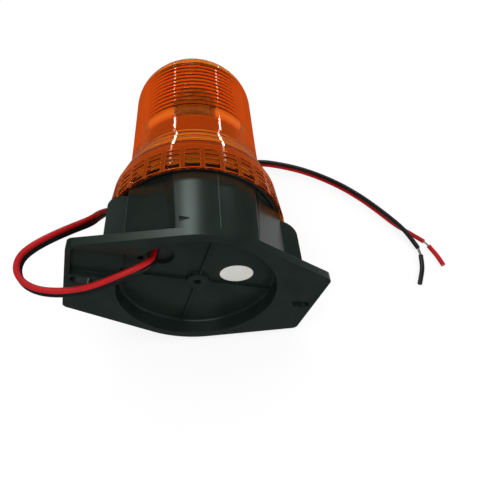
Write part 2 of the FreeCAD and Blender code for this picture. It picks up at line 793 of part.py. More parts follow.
carrier = new_body("led_carrier")
nodes.append(carrier)
stem_low = "D.tower_top + D.foot_t"
stem_sketch = sketch_on(carrier, "XY_Plane", "StemCircle", stem_low)
add_circle(stem_sketch, "D.stem_r")
pad(carrier, stem_sketch, "D.head_low - D.tower_top - D.foot_t", "Stem")
head_sketch = sketch_on(carrier, "XY_Plane", "HeadHexagon", "D.head_low")
corner_angles = ["(%d + D.column_turn_deg) * 1deg" % (60 * corner - 90) for corner in range(6)]
add_outline(head_sketch, [
    ("D.column_r * cos(%s)" % angle, "D.column_r * sin(%s)" % angle) for angle in corner_angles
])
pad(carrier, head_sketch, "D.column_top - D.head_low", "HeadPrism")
carrier_bore = sketch_on(carrier, "XY_Plane", "CarrierBore", stem_low)
add_circle(carrier_bore, "D.column_bore_r")
pocket(
    carrier,
    carrier_bore,
    "D.column_top - D.column_cap_t - D.tower_top - D.foot_t",
    "CarrierHollow",
    up=True,
)

face_r = val("D.column_r * cos(30deg) + D.glue_gap")
strips = []
leds = []
row_step = val("(D.led_board_high - D.led_board_low) / D.led_rows")
for face in range(6):
    turn = FreeCAD.Rotation(FreeCAD.Vector(0, 0, 1), 60 * face + val("D.column_turn_deg"))
    strip = doc.addObject("Part::Box", "LedStrip%d" % face)
    strip.setExpression("Length", expr("D.led_board_t"))
    strip.setExpression("Width", expr("D.led_board_w"))
    strip.setExpression("Height", expr("D.led_board_high - D.led_board_low"))
    corner = FreeCAD.Vector(face_r, -val("D.led_board_w") / 2, val("D.led_board_low"))
    strip.Placement = FreeCAD.Placement(turn.multVec(corner), turn)
    strips.append(strip)
    for row in range(int(val("D.led_rows"))):
        led = doc.addObject("Part::Box", "Led%d%d" % (face, row))
        led.setExpression("Length", expr("D.led_t"))
        led.setExpression("Width", expr("D.led_side"))
        led.setExpression("Height", expr("D.led_side"))
        height = val("D.led_board_low - D.led_side / 2") + row_step / 2 + row * row_step
        corner = FreeCAD.Vector(face_r + val("D.led_board_t"), -val("D.led_side") / 2, height)
        led.Placement = FreeCAD.Placement(turn.multVec(corner), turn)
        leds.append(led)
nodes.append(joined("led_boards", strips))
nodes.append(joined("leds", leds))

# Driver board on its three posts

board = new_body("driver_board")
nodes.append(board)
board_sketch = sketch_on(board, "XY_Plane", "BoardDisc", "D.board_post_top")
add_circle(board_sketch, "D.board_r")
add_circle(board_sketch, "D.board_wire_gap_r", "D.wire_hole_x", "D.wire_hole_y")
for index in range(3):
    angle = "%d * 120deg" % index
    x = "D.board_post_ring * cos(%s)" % angle
    y = "D.board_post_ring * sin(%s)" % angle
    add_circle(board_sketch, "D.board_screw_r + D.glue_gap", x, y)
pad(board, board_sketch, "D.board_t", "BoardSheet")
board_top = "D.board_post_top + D.board_t"

nodes.append(screw_set(
    "board_screws",
    3,
    "D.board_post_ring",
    board_top,
    ("D.board_screw_head_r", "D.board_screw_head_t"),
    ("D.board_screw_r", "D.board_screw_len"),
))

cans = []
for index, (x, y) in enumerate([("D.cap_a_x", "D.cap_a_y"), ("D.cap_b_x", "D.cap_b_y")]):
    cans.append(rod_at("Can%d" % index, "D.cap_r", "D.cap_h", (x, y, board_top)))
nodes.append(joined("filter_capacitors", cans))

choke = doc.addObject("Part::Torus", "choke_coil")
choke.Label = "choke_coil"
choke.setExpression("Radius1", expr("D.choke_r"))
choke.setExpression("Radius2", expr("D.choke_wound_r"))
choke.setExpression("Placement.Base.x", expr("D.choke_x"))
choke.setExpression("Placement.Base.y", expr("D.choke_y"))
choke.setExpression("Placement.Base.z", expr(board_top + " + D.choke_wound_r"))
nodes.append(choke)

chip = box_at("driver_chip", ("D.chip_len", "D.chip_w", "D.chip_h"), ("D.chip_x", "D.chip_y", board_top))
nodes.append(chip)
transistor = box_at(
    "switch_transistor",
    ("D.transistor_len", "D.transistor_w", "D.transistor_h"),
    ("D.transistor_x", "D.transistor_y", board_top),
)
nodes.append(transistor)

terminal_block = box_at(
    "TerminalBlock",
    ("D.terminal_len", "D.terminal_w", "D.terminal_h"),
    ("D.terminal_x", "D.terminal_y", board_top),
)
terminal_cuts = []
lead_y = ["D.terminal_y + (D.terminal_w + %d * D.terminal_entry_pitch) / 2" % side for side in (-1, 1)]
lead_z = board_top + " + D.terminal_h / 2"
for index, y in enumerate(lead_y):
    entry = doc.addObject("Part::Cylinder", "TerminalEntry%d" % index)
    entry.setExpression("Radius", expr("D.terminal_entry_r"))
    entry.setExpression("Height", expr("D.terminal_entry_len"))
    start = FreeCAD.Vector(val("D.terminal_x"), val(y), val(lead_z))
    along_x = FreeCAD.Rotation(FreeCAD.Vector(0, 1, 0), 90)
    entry.Placement = FreeCAD.Placement(start, along_x)
    terminal_cuts.append(entry)
terminal_ways = joined("TerminalWays", terminal_cuts)
terminal = doc.addObject("Part::Cut", "wire_terminal")
terminal.Label = "wire_terminal"
terminal.Base = terminal_block
terminal.Tool = terminal_ways
nodes.append(terminal)

lamp_leads = []
for index, side in enumerate(["-D.lamp_lead_x", "D.lamp_lead_x"]):
    rise = "D.tower_top + D.foot_t + D.lamp_lead_above - D.board_post_top - D.board_t"
    lamp_leads.append(rod_at("LampLead%d" % index, "D.lamp_lead_r", rise, (side, "0", board_top)))
nodes.append(joined("lamp_leads", lamp_leads))

grommet_disc = rod_at(
    "GrommetDisc",
    "D.grommet_r",
    "D.grommet_t",
    ("D.wire_hole_x", "D.wire_hole_y", "D.drum_floor_top"),
)
grommet_spigot = rod_at(
    "GrommetSpigot",
    "D.grommet_spigot_r",
    "D.grommet_top - D.drum_floor_top",
    ("D.wire_hole_x", "D.wire_hole_y", "D.drum_floor_top"),
)
nodes.append(joined("wire_grommet", [grommet_disc, grommet_spigot], "Part::MultiFuse"))

# Blank oval sticker on the recess floor

oval = doc.addObject("Part::Ellipse", "LabelOval")
oval.setExpression("MajorRadius", expr("D.label_half_len"))
oval.setExpression("MinorRadius", expr("D.label_half_w"))
label_turn = FreeCAD.Rotation(FreeCAD.Vector(0, 0, 1), val("D.label_turn_deg"))
label_centre = FreeCAD.Vector(val("D.label_x"), val("D.label_y"), val("D.drum_floor - D.label_t"))
oval.Placement = FreeCAD.Placement(label_centre, label_turn)
label = doc.addObject("Part::Extrusion", "oval_label")
label.Label = "oval_label"
label.Base = oval
label.DirMode = "Custom"
label.Dir = FreeCAD.Vector(0, 0, 1)
label.setExpression("LengthFwd", expr("D.label_t"))
label.Solid = True
nodes.append(label)


# Twin lead: straight runs joined by tangent arcs

def bent_path(points, share=0.45):
    """Edges of a cord's middle line through hand-chosen points, each corner rounded by a tangent arc."""
    points = [FreeCAD.Vector(*p) for p in points]
    edges = []
    here = points[0]
    smallest = None
    for before, corner, after in zip(points, points[1:], points[2:]):
        back = (before - corner).normalize()
        ahead = (after - corner).normalize()
        half_turn = (math.pi - back.getAngle(ahead)) / 2
        reach = share * min((corner - before).Length, (after - corner).Length)
        radius = reach / math.tan(half_turn)
        start = corner + back * reach
        end = corner + ahead * reach
        inward = (back + ahead).normalize()
        middle = corner + inward * (radius / math.cos(half_turn) - radius)
        edges.append(Part.LineSegment(here, start).toShape())
        edges.append(Part.Arc(start, middle, end).toShape())
        here = end
        smallest = radius if smallest is None else min(smallest, radius)
    edges.append(Part.LineSegment(here, points[-1]).toShape())
    return edges, smallest


def tube_shape(name, points, diameter):
    """A round cord along the path; its volume is held against section times length."""
    edges, smallest = bent_path(points)
    path = Part.Wire(edges)
    start = edges[0].Vertexes[0].Point
    direction = edges[0].tangentAt(edges[0].FirstParameter)
    ring = Part.Wire(Part.Circle(start, direction, diameter / 2).toShape())
    tube = path.makePipeShell([ring], True, False)
    share = tube.Volume / (math.pi * diameter ** 2 / 4 * path.Length)
    bend = "straight" if smallest is None else "least bend radius %.1f mm" % smallest
    print("%s: %.1f mm long, %s, volume share %.4f" % (name, path.Length, bend, share))
    return tube


def cord_node(label, lines, diameter):
    """One or more cords as one piece of the assembly."""
    node = doc.addObject("Part::Feature", label)
    node.Label = label
    shapes = [tube_shape(label, points, val(diameter)) for points in lines]
    node.Shape = shapes[0] if len(shapes) == 1 else Part.makeCompound(shapes)
    node.Placement = FreeCAD.Placement()
    nodes.append(node)


# Middle of the pair from the grommet's face round the left side, behind the lens and down the right.
# The fourth number is the pair's turn in degrees: 0 has red above black, 180 black above red.
PAIR_MIDDLE = [
    (-25.6, -17.6, 11.8, 0),
    (-25.6, -17.6, 5.0, 0),
    (-30.4, -20.4, -2.4, 0),
    (-41.0, -15.8, -6.8, 0),
    (-53.0, -8.1, -9.8, 0),
    (-65.4, -3.3, -10.6, 0),
    (-76.5, -0.9, -9.4, 0),
    (-84.3, 0.1, -4.9, 0),
    (-88.0, -0.5, 1.6, 0),
    (-87.4, -1.6, 8.6, 0),
    (-83.1, -3.2, 14.1, 0),
    (-76.3, -4.3, 20.5, 0),
    (-66.8, -4.4, 28.8, 0),
    (-58.4, -0.6, 39.0, 0),
    (-55.1, 9.2, 53.4, 10),
    (-48.9, 24.9, 73.0, 35),
    (-33.2, 40.2, 94.0, 70),
    (-10.0, 46.2, 116.0, 105),
    (14.0, 43.8, 135.5, 140),
    (37.0, 35.2, 149.0, 165),
    (58.4, 27.3, 152.4, 180),
    (76.8, 20.4, 145.4, 180),
    (94.0, 13.9, 135.4, 180),
    (111.6, 7.3, 120.1, 180),
    (124.5, 2.4, 104.4, 180),
    (134.0, -1.1, 89.7, 180),
    (142.9, -4.5, 73.8, 180),
]
RED_TAIL = [(150.6, -5.8, 65.6), (157.4, -8.3, 57.0)]
BLACK_TAIL = [(147.4, -6.9, 64.2), (152.2, -6.3, 51.9)]
RED_STRANDS = [(157.4, -8.3, 57.0), (159.3, -9.0, 52.7)]
RED_SLUG = [(159.3, -9.0, 52.7), (161.9, -10.0, 44.2), (163.2, -10.5, 36.1)]
BLACK_STRANDS = [(152.2, -6.3, 51.9), (152.0, -6.3, 45.4)]
BLACK_SLUG = [(152.0, -6.3, 45.4), (150.1, -5.5, 35.3), (144.9, -3.6, 23.4)]
PAIR_UP = FreeCAD.Vector(-0.352, -0.936, 0)
PAIR_ACROSS = FreeCAD.Vector(0.70, -0.27, -0.66)


def conductor(side):
    """One conductor's points: the pair's middle moved half the pitch to its side, square to the run."""
    middle = [FreeCAD.Vector(x, y, z) for x, y, z, turn in PAIR_MIDDLE]
    points = []
    for number, (x, y, z, turn) in enumerate(PAIR_MIDDLE):
        before = middle[max(number - 1, 0)]
        after = middle[min(number + 1, len(middle) - 1)]
        run = (after - before).normalize()
        angle = math.radians(turn)
        away = PAIR_UP * math.cos(angle) + PAIR_ACROSS * math.sin(angle)
        away = (away - run * away.dot(run)).normalize()
        point = middle[number] + away * (side * val("D.pair_pitch") / 2)
        points.append((point.x, point.y, point.z))
    return points


cord_node("red_wire", [conductor(1) + RED_TAIL], "D.wire_d")
cord_node("black_wire", [conductor(-1) + BLACK_TAIL], "D.wire_d")
cord_node("red_strands", [RED_STRANDS], "D.red_strand_d")
cord_node("black_strands", [BLACK_STRANDS], "D.black_strand_d")
cord_node("red_slug", [RED_SLUG], "D.wire_d")
cord_node("black_slug", [BLACK_SLUG], "D.wire_d")

lead_top = val(lead_z)
inner_x = val("D.wire_hole_x")
inner_lines = []
for index, y in enumerate(lead_y):
    row = val(y)
    start_y = val("D.wire_hole_y + (%d - 1) * D.inner_lead_pitch / 2" % (2 * index))
    inner_lines.append([
        (inner_x, start_y, val("D.grommet_top")),
        (inner_x, start_y, lead_top - val("D.inner_lead_drop")),
        (inner_x + val("D.inner_lead_run"), row, lead_top),
        (val("D.terminal_x + D.terminal_entry_len - D.terminal_stop"), row, lead_top),
    ])
cord_node("inner_leads", inner_lines, "D.inner_lead_d")

doc.recompute()
for item in doc.Objects:
    if "Invalid" in item.State or "Error" in item.State:
        raise RuntimeError("%s is not sound: %s" % (item.Label, item.State))
os.makedirs("parts", exist_ok=True)
for node in nodes:
    shape = node.Shape
    if shape.isNull() or not shape.isValid():
        raise RuntimeError("%s has no sound shape" % node.Label)
    shape.exportStep("parts/%s.step" % node.Label)
    print("%-18s %2d solids %10.1f mm3" % (node.Label, len(shape.Solids), shape.Volume))
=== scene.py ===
# %% [markdown]
# # A strobe beacon, lying on its side
# The beacon is a warning lamp: a black base with two mounting wings, an amber lens that screws on it, and a twin
# lead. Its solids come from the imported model, so their shape and size stay as they are. This lesson adds the
# looks: a camera that stands where the photographer stood, the lead as smooth curves, moulded plastics, a clear
# lens, and a plain white table.

# %% Load the solids
import bpy
import math
from mathutils import Matrix, Vector


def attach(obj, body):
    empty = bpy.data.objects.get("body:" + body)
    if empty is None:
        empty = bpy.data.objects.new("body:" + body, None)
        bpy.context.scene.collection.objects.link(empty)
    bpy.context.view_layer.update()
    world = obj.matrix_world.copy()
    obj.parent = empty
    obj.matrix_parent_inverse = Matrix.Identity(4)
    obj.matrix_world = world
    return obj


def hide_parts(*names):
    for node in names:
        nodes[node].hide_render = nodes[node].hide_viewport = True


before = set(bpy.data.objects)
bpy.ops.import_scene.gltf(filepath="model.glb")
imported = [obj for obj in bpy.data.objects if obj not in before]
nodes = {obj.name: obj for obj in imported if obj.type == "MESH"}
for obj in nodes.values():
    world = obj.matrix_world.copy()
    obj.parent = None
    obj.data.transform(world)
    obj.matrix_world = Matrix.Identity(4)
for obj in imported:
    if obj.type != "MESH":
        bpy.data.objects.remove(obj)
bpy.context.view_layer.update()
MM = 0.001


# %% [markdown]
# ## Camera
# The beacon lies on its side, so in its own upright frame the camera looks up at the underside from the front
# left. A camera can be aimed by eye or by a constraint. Here its place and its three directions are numbers
# fitted to the outlines of the base and the lens, because only then do the render and the picture overlay.

# %% Set the camera
CAMERA_MM = (-49.58, -201.45, -139.32)
CAMERA_RIGHT = Vector((0.9486, -0.3059, -0.0810))
CAMERA_DOWN = Vector((0.1353, 0.6234, -0.7701))
CAMERA_FORWARD = Vector((0.2861, 0.7196, 0.6328))
FOCAL_PX = 469.84
PRINCIPAL_PX = (246.93, 245.58)
PICTURE_PX = 480
SENSOR_MM = 36.0

camera_data = bpy.data.cameras.new("camera")
camera_data.sensor_width = SENSOR_MM
camera_data.lens = FOCAL_PX / PICTURE_PX * SENSOR_MM
camera_data.shift_x = (PICTURE_PX / 2 - PRINCIPAL_PX[0]) / PICTURE_PX
camera_data.shift_y = (PRINCIPAL_PX[1] - PICTURE_PX / 2) / PICTURE_PX
camera_data.clip_start = 0.01
camera = bpy.data.objects.new("camera", camera_data)
bpy.context.scene.collection.objects.link(camera)
turn = Matrix((CAMERA_RIGHT, -CAMERA_DOWN, -CAMERA_FORWARD)).transposed()
camera.matrix_world = Matrix.Translation(Vector(CAMERA_MM) * MM) @ turn.to_quaternion().to_matrix().to_4x4()
bpy.context.scene.camera = camera
print("lens", round(camera_data.lens, 2), "mm")


# %% [markdown]
# ## Colours and nodes
# Every colour is written as the sRGB hex value that a picture would show, and one function makes it linear,
# which is what shaders want. Nodes could be joined by hand in the editor. Here one function adds a node with its
# settings and links, so that a material can be read from top to bottom.

# %% Small helpers
def linear(hex_colour):
    """Linear RGBA from an sRGB hex colour."""
    values = [int(hex_colour[i:i + 2], 16) / 255 for i in (1, 3, 5)]
    return tuple(v / 12.92 if v <= 0.04045 else ((v + 0.055) / 1.055) ** 2.4 for v in values) + (1.0,)


def add(tree, kind, inputs=None, **settings):
    """A node of that kind; an input is a plain value or the socket that feeds it."""
    made = tree.nodes.new(kind)
    for name, value in settings.items():
        setattr(made, name, value)
    for name, value in (inputs or {}).items():
        if isinstance(value, bpy.types.NodeSocket):
            tree.links.new(value, made.inputs[name])
        else:
            made.inputs[name].default_value = value
    return made


def new_material(name):
    """An empty node material and its tree."""
    material = bpy.data.materials.new(name)
    material.use_nodes = True
    material.node_tree.nodes.clear()
    return material, material.node_tree


def dress(material, *names):
    """Put the material on CAD nodes or pieces."""
    for name in names:
        piece = nodes[name] if isinstance(name, str) else name
        piece.data.materials.clear()
        piece.data.materials.append(material)


print("amber is", [round(v, 3) for v in linear("#E78E30")])


# %% [markdown]
# ## The twin lead
# A red and a black wire are bonded side by side. Each could be a swept mesh, but a curve with a round bevel is
# lighter and stays smooth. The middle of the pair follows points chosen on the picture, and each conductor sits
# half the pitch to one side, square to the run. The fourth number turns the pair: 0 has red on top, 180 has
# black on top.

# %% The lead's route
WIRE_D = 3.0
PAIR_PITCH = 3.06
PAIR_MIDDLE = [
    (-25.6, -17.6, 11.8, 0),
    (-25.6, -17.6, 5.0, 0),
    (-30.4, -20.4, -2.4, 0),
    (-41.0, -15.8, -6.8, 0),
    (-53.0, -8.1, -9.8, 0),
    (-65.4, -3.3, -10.6, 0),
    (-76.5, -0.9, -9.4, 0),
    (-84.3, 0.1, -4.9, 0),
    (-88.0, -0.5, 1.6, 0),
    (-87.4, -1.6, 8.6, 0),
    (-83.1, -3.2, 14.1, 0),
    (-76.3, -4.3, 20.5, 0),
    (-66.8, -4.4, 28.8, 0),
    (-58.4, -0.6, 39.0, 0),
    (-55.1, 9.2, 53.4, 10),
    (-48.9, 24.9, 73.0, 35),
    (-33.2, 40.2, 94.0, 70),
    (-10.0, 46.2, 116.0, 105),
    (14.0, 43.8, 135.5, 140),
    (37.0, 35.2, 149.0, 165),
    (58.4, 27.3, 152.4, 180),
    (76.8, 20.4, 145.4, 180),
    (94.0, 13.9, 135.4, 180),
    (111.6, 7.3, 120.1, 180),
    (124.5, 2.4, 104.4, 180),
    (134.0, -1.1, 89.7, 180),
    (142.9, -4.5, 73.8, 180),
]
RED_TAIL = [(150.6, -5.8, 65.6), (157.4, -8.3, 57.0)]
BLACK_TAIL = [(147.4, -6.9, 64.2), (152.2, -6.3, 51.9)]
PAIR_UP = Vector((-0.352, -0.936, 0))
PAIR_ACROSS = Vector((0.70, -0.27, -0.66))


def conductor(side):
    """One conductor's points, half the pitch to its side of the pair's middle."""
    middle = [Vector(row[:3]) for row in PAIR_MIDDLE]
    points = []
    for number, row in enumerate(PAIR_MIDDLE):
        before = middle[max(number - 1, 0)]
        after = middle[min(number + 1, len(middle) - 1)]
        run = (after - before).normalized()
        angle = math.radians(row[3])
        away = PAIR_UP * math.cos(angle) + PAIR_ACROSS * math.sin(angle)
        away = (away - run * away.dot(run)).normalized()
        points.append(middle[number] + away * (side * PAIR_PITCH / 2))
    return points


red_points = conductor(1) + [Vector(p) for p in RED_TAIL]
black_points = conductor(-1) + [Vector(p) for p in BLACK_TAIL]
print("points on each wire", len(red_points), len(black_points))


# %% [markdown]
# ## Round wires
# Extruded insulation is a plain round skin. A NURBS spline of order 3 goes smoothly between the points without
# swinging past them, as a Bezier with automatic handles may. The points carry the radius, because a curve's box
# grows by its points' radius, which is 1 m unless it is set.

# %% Draw the two wires
def round_line(name, lines, diameter):
    """A curve object with one smooth round line for each list of points in millimetres."""
    data = bpy.data.curves.new(name, "CURVE")
    data.dimensions = "3D"
    data.bevel_depth = 1.0
    data.bevel_resolution = 8
    data.use_fill_caps = True
    data.resolution_u = 14
    for points in lines:
        spline = data.splines.new("NURBS")
        spline.points.add(len(points) - 1)
        for slot, point in zip(spline.points, points):
            slot.co = (point[0] * MM, point[1] * MM, point[2] * MM, 1.0)
            slot.radius = diameter / 2 * MM
        spline.order_u = 3
        spline.use_endpoint_u = True
    made = bpy.data.objects.new(name, data)
    bpy.context.scene.collection.objects.link(made)
    return made


red_lead = round_line("red_lead", [red_points], WIRE_D)
black_lead = round_line("black_lead", [black_points], WIRE_D)
print("lead pieces", red_lead.name, black_lead.name)


# %% [markdown]
# ## Bare strands
# Where the insulation was cut and pushed down, the tinned strands show. One smooth rod would be simpler, but
# strands catch the light in small stripes. So seven of them twist together, six of them as thin helixes about
# the line from one cut to the next.

# %% Twist the strands
RED_STRANDS = [(157.4, -8.3, 57.0), (159.3, -9.0, 52.7)]
BLACK_STRANDS = [(152.2, -6.3, 51.9), (152.0, -6.3, 45.4)]
OUTER_STRANDS = 6
HELIX_STEPS = 14
CORE_BOW_MM = 0.05


def twisted(name, ends, strand_d, ring_r, turns):
    """Seven strands: one nearly straight, six wound round it."""
    start, end = Vector(ends[0]), Vector(ends[1])
    axis = (end - start).normalized()
    side = axis.orthogonal().normalized()
    other = axis.cross(side)
    lines = [[start, (start + end) / 2 + side * CORE_BOW_MM, end]]
    for strand in range(OUTER_STRANDS):
        line = []
        for step in range(HELIX_STEPS + 1):
            share = step / HELIX_STEPS
            angle = math.tau * (turns * share + strand / OUTER_STRANDS)
            line.append(start.lerp(end, share) + (side * math.cos(angle) + other * math.sin(angle)) * ring_r)
        lines.append(line)
    made = round_line(name, lines, strand_d)
    made.data.bevel_resolution = 3
    return made


red_ends = twisted("red_bare_strands", RED_STRANDS, strand_d=0.42, ring_r=0.43, turns=0.7)
black_ends = twisted("black_bare_strands", BLACK_STRANDS, strand_d=0.55, ring_r=0.62, turns=0.6)
print("strands", red_ends.name, black_ends.name)


# %% [markdown]
# ## The lead's facts
# The wires and strands take the place of the plain solids red_wire, black_wire, red_strands and black_strands,
# which are hidden, and all of them ride on the base, where the lead is held.

# %% Tell the frame about the lead
for piece, node in ((red_lead, "red_wire"), (black_lead, "black_wire"),
                    (red_ends, "red_strands"), (black_ends, "black_strands")):
    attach(piece, "base")
    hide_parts(node)
print("cords", red_lead.name, black_lead.name)


# %% [markdown]
# ## Moulded ABS
# The base is injection-moulded ABS, black with a faint green cast. The spark-eroded mould leaves a satin skin: the
# colour and the gloss drift a little and the light breaks up softly. An image of a grain would do that, but
# noise in the object's own millimetres needs no unwrapping. The real grain is about 0.1 mm and too fine to show,
# so it is drawn at 0.45 mm. A Bevel node rounds the edges for the light only, since moulded edges are never sharp.

# %% Black ABS
DRIFT_MM = 14.0
# Noise gathers round a half, so this part of its range is stretched to 0 to 1.
NOISE_LOW, NOISE_HIGH = 0.3, 0.7


def moulded(name, dark, light, rough, bump_mm=0.02, grain_mm=0.45, edge_mm=0.2, sheen="#FFFFFF"):
    """A moulded plastic with a satin grain and slightly rounded edges."""
    material, tree = new_material(name)
    place = add(tree, "ShaderNodeTexCoord").outputs["Object"]
    fine = add(tree, "ShaderNodeTexNoise", {"Vector": place, "Scale": 1 / (grain_mm * MM)}).outputs["Fac"]
    broad = add(tree, "ShaderNodeTexNoise", {"Vector": place, "Scale": 1 / (DRIFT_MM * MM)}).outputs["Fac"]
    drift = add(tree, "ShaderNodeMapRange", {0: broad, 1: NOISE_LOW, 2: NOISE_HIGH}).outputs[0]
    tone = add(tree, "ShaderNodeMix", {0: drift, 6: linear(dark), 7: linear(light)}, data_type="RGBA")
    gloss = add(tree, "ShaderNodeMapRange", {0: fine, 1: NOISE_LOW, 2: NOISE_HIGH, 3: rough - 0.02, 4: rough + 0.02})
    edge = add(tree, "ShaderNodeBevel", {"Radius": edge_mm * MM}, samples=4)
    bump = add(tree, "ShaderNodeBump", {"Height": fine, "Strength": 0.12, "Distance": bump_mm * MM,
                                        "Normal": edge.outputs["Normal"]})
    shader = add(tree, "ShaderNodeBsdfPrincipled", {
        "Base Color": tone.outputs[2],
        "Roughness": gloss.outputs[0],
        "IOR": 1.53,
        "Specular Tint": linear(sheen),
        "Normal": bump.outputs["Normal"],
    })
    add(tree, "ShaderNodeOutputMaterial", {"Surface": shader.outputs[0]})
    return material


abs_black = moulded("abs_black_moulded", "#131B17", "#18211D", 0.3, edge_mm=0.4, sheen="#EAFFF6")
dress(abs_black, "base_housing")
print(abs_black.name)


# %% [markdown]
# ## Parting line
# The two halves of the drum's mould met on the front, at x = 0, and left a line about a third of a millimetre
# wide. Its paleness is a painted highlight, for the light that the line catches. It has no height in the model, so
# it is a change of colour, picked out by the place on the base.

# %% Draw the parting line with its painted highlight
PARTING_MM = 0.35
PARTING_FRONT_MM = -40.0
PARTING_FLOOR_MM = 5.0


def painted_parting_highlight(material):
    """Mix the paler line, a painted highlight, into the material's colour."""
    tree = material.node_tree
    shader = next(node for node in tree.nodes if node.type == "BSDF_PRINCIPLED")
    wall_colour = shader.inputs["Base Color"].links[0].from_socket
    place = add(tree, "ShaderNodeTexCoord")
    axes = add(tree, "ShaderNodeSeparateXYZ", {"Vector": place.outputs["Object"]})
    off = add(tree, "ShaderNodeMath", {0: axes.outputs["X"]}, operation="ABSOLUTE")
    near = add(tree, "ShaderNodeMath", {0: off.outputs[0], 1: PARTING_MM / 2 * MM}, operation="LESS_THAN")
    front = add(tree, "ShaderNodeMath", {0: axes.outputs["Y"], 1: PARTING_FRONT_MM * MM}, operation="LESS_THAN")
    wall = add(tree, "ShaderNodeMath", {0: axes.outputs["Z"], 1: PARTING_FLOOR_MM * MM}, operation="GREATER_THAN")
    both = add(tree, "ShaderNodeMath", {0: near.outputs[0], 1: front.outputs[0]}, operation="MULTIPLY")
    line = add(tree, "ShaderNodeMath", {0: both.outputs[0], 1: wall.outputs[0]}, operation="MULTIPLY")
    # The paler colour along the line is a painted highlight.
    colour = add(tree, "ShaderNodeMix", {0: line.outputs[0], 6: wall_colour, 7: linear("#3C4642")}, data_type="RGBA")
    tree.links.new(colour.outputs[2], shader.inputs["Base Color"])


painted_parting_highlight(abs_black)
print("parting line", PARTING_MM, "mm")


# %% [markdown]
# ## Heights on the lens
# The lens is one amber moulding: a grip collar with a grid of sunk cells, three stepped bands, a smooth band with a
# thinner wall, prism rings and a dome. Its finish and its painted glow differ with the height, and it could be split
# into several materials. A list of heights and values, read along the lens's own axis, keeps it one piece of plastic.

# %% A value by height
LENS_TOP_MM = 181.0
# The share and the heights of painted glow: the rim, a line on each stepped band and a faint one on the dome's top.
PAINTED_BAND_GLOW = 0.95
PAINTED_GLOW_AT_MM = [
    (40.0, 0.5), (41.0, 0.5), (41.6, 0.0),
    (68.8, 0.0), (69.3, PAINTED_BAND_GLOW), (71.0, PAINTED_BAND_GLOW), (71.1, 0.0),
    (75.3, 0.0), (75.8, PAINTED_BAND_GLOW), (77.5, PAINTED_BAND_GLOW), (77.6, 0.0),
    (81.8, 0.0), (82.3, PAINTED_BAND_GLOW), (84.0, PAINTED_BAND_GLOW), (84.1, 0.0),
    (158.0, 0.0), (166.0, 0.15),
]
# Heights where a redder painted glow is mixed in on the slant.
PAINTED_LONG_WAY_MM = [(84.0, 0.1), (96.0, 1.0), (158.0, 1.0), (168.0, 0.1)]
ABOVE_GRIP_MM = [(63.7, 0.0), (66.0, 1.0)]
THIN_WALL_MM = [(101.5, 0.0), (103.5, 1.0), (109.5, 1.0), (111.0, 0.0)]


def by_height(tree, axes, levels):
    """A value that follows a list of heights in mm and values."""
    height = add(tree, "ShaderNodeMapRange", {0: axes.outputs["Z"], 2: LENS_TOP_MM * MM})
    made = add(tree, "ShaderNodeValToRGB", {"Fac": height.outputs[0]})
    stops = made.color_ramp.elements
    while len(stops) < len(levels):
        stops.new(1.0)
    for stop, (level, value) in zip(stops, levels):
        stop.position = level / LENS_TOP_MM
        stop.color = (value, value, value, 1)
    return made.outputs["Color"]


print("heights that glow", len(PAINTED_GLOW_AT_MM), "up to", LENS_TOP_MM, "mm")


# %% [markdown]
# ## Light inside the wall
# Light that runs along inside clear plastic comes out at its edges, so the rim, the bands and the grip bars glow.
# Tracing that light would take a long render, so this glow is painted: a lit dye is mixed in. A rounded-edge normal
# differs from the true normal only near an edge, and that difference is the mask. The floors of the grip cells are
# left out of it. Where the wall is seen on the slant, a deeper, redder painted glow is mixed in, for light that
# would have come a long way through the dye, as in tinted glass.

# %% Where the lens gets its painted glow
GRIP_RIM = (51.2, 40.8)
GRIP_TOP = (49.0, 63.7)
CELL_DEPTH_MM = 0.45
# Shares of painted glow on edges, on grip bars and on the wall seen on the slant.
PAINTED_EDGE_GLOW = (0.05, 0.95)
PAINTED_BAR_GLOW = 0.22
PAINTED_LONG_WAY_GLOW = 0.85
OUTER_FACE = 0.3


def painted_edge_glow(tree, axes, across, rounded, true):
    """The share of painted glow on edges and grip bars, and none on the floors of the grip cells."""
    agree = add(tree, "ShaderNodeVectorMath", {0: rounded, 1: true}, operation="DOT_PRODUCT")
    edge = add(tree, "ShaderNodeMapRange", {0: agree.outputs["Value"], 1: 0.99, 2: 0.85, 3: PAINTED_EDGE_GLOW[0],
                                            4: PAINTED_EDGE_GLOW[1]})
    radius = add(tree, "ShaderNodeVectorMath", {0: across}, operation="LENGTH")
    outside = add(tree, "ShaderNodeMapRange", {0: axes.outputs["Z"], 1: GRIP_RIM[1] * MM, 2: GRIP_TOP[1] * MM,
                                               3: GRIP_RIM[0] * MM, 4: GRIP_TOP[0] * MM})
    depth = add(tree, "ShaderNodeMath", {0: outside.outputs[0], 1: radius.outputs["Value"]}, operation="SUBTRACT")
    floor = add(tree, "ShaderNodeMath", {0: depth.outputs[0], 1: CELL_DEPTH_MM * MM}, operation="GREATER_THAN")
    grip = add(tree, "ShaderNodeMath", {0: axes.outputs["Z"], 1: GRIP_TOP[1] * MM}, operation="LESS_THAN")
    cell = add(tree, "ShaderNodeMath", {0: floor.outputs[0], 1: grip.outputs[0]}, operation="MULTIPLY")
    face = add(tree, "ShaderNodeMath", {0: grip.outputs[0], 1: PAINTED_BAR_GLOW}, operation="MULTIPLY")
    raised = add(tree, "ShaderNodeMath", {0: edge.outputs[0], 1: face.outputs[0]}, operation="MAXIMUM")
    return add(tree, "ShaderNodeMix", {"Factor": cell.outputs[0], "A": raised.outputs[0], "B": 0.0}).outputs[0]


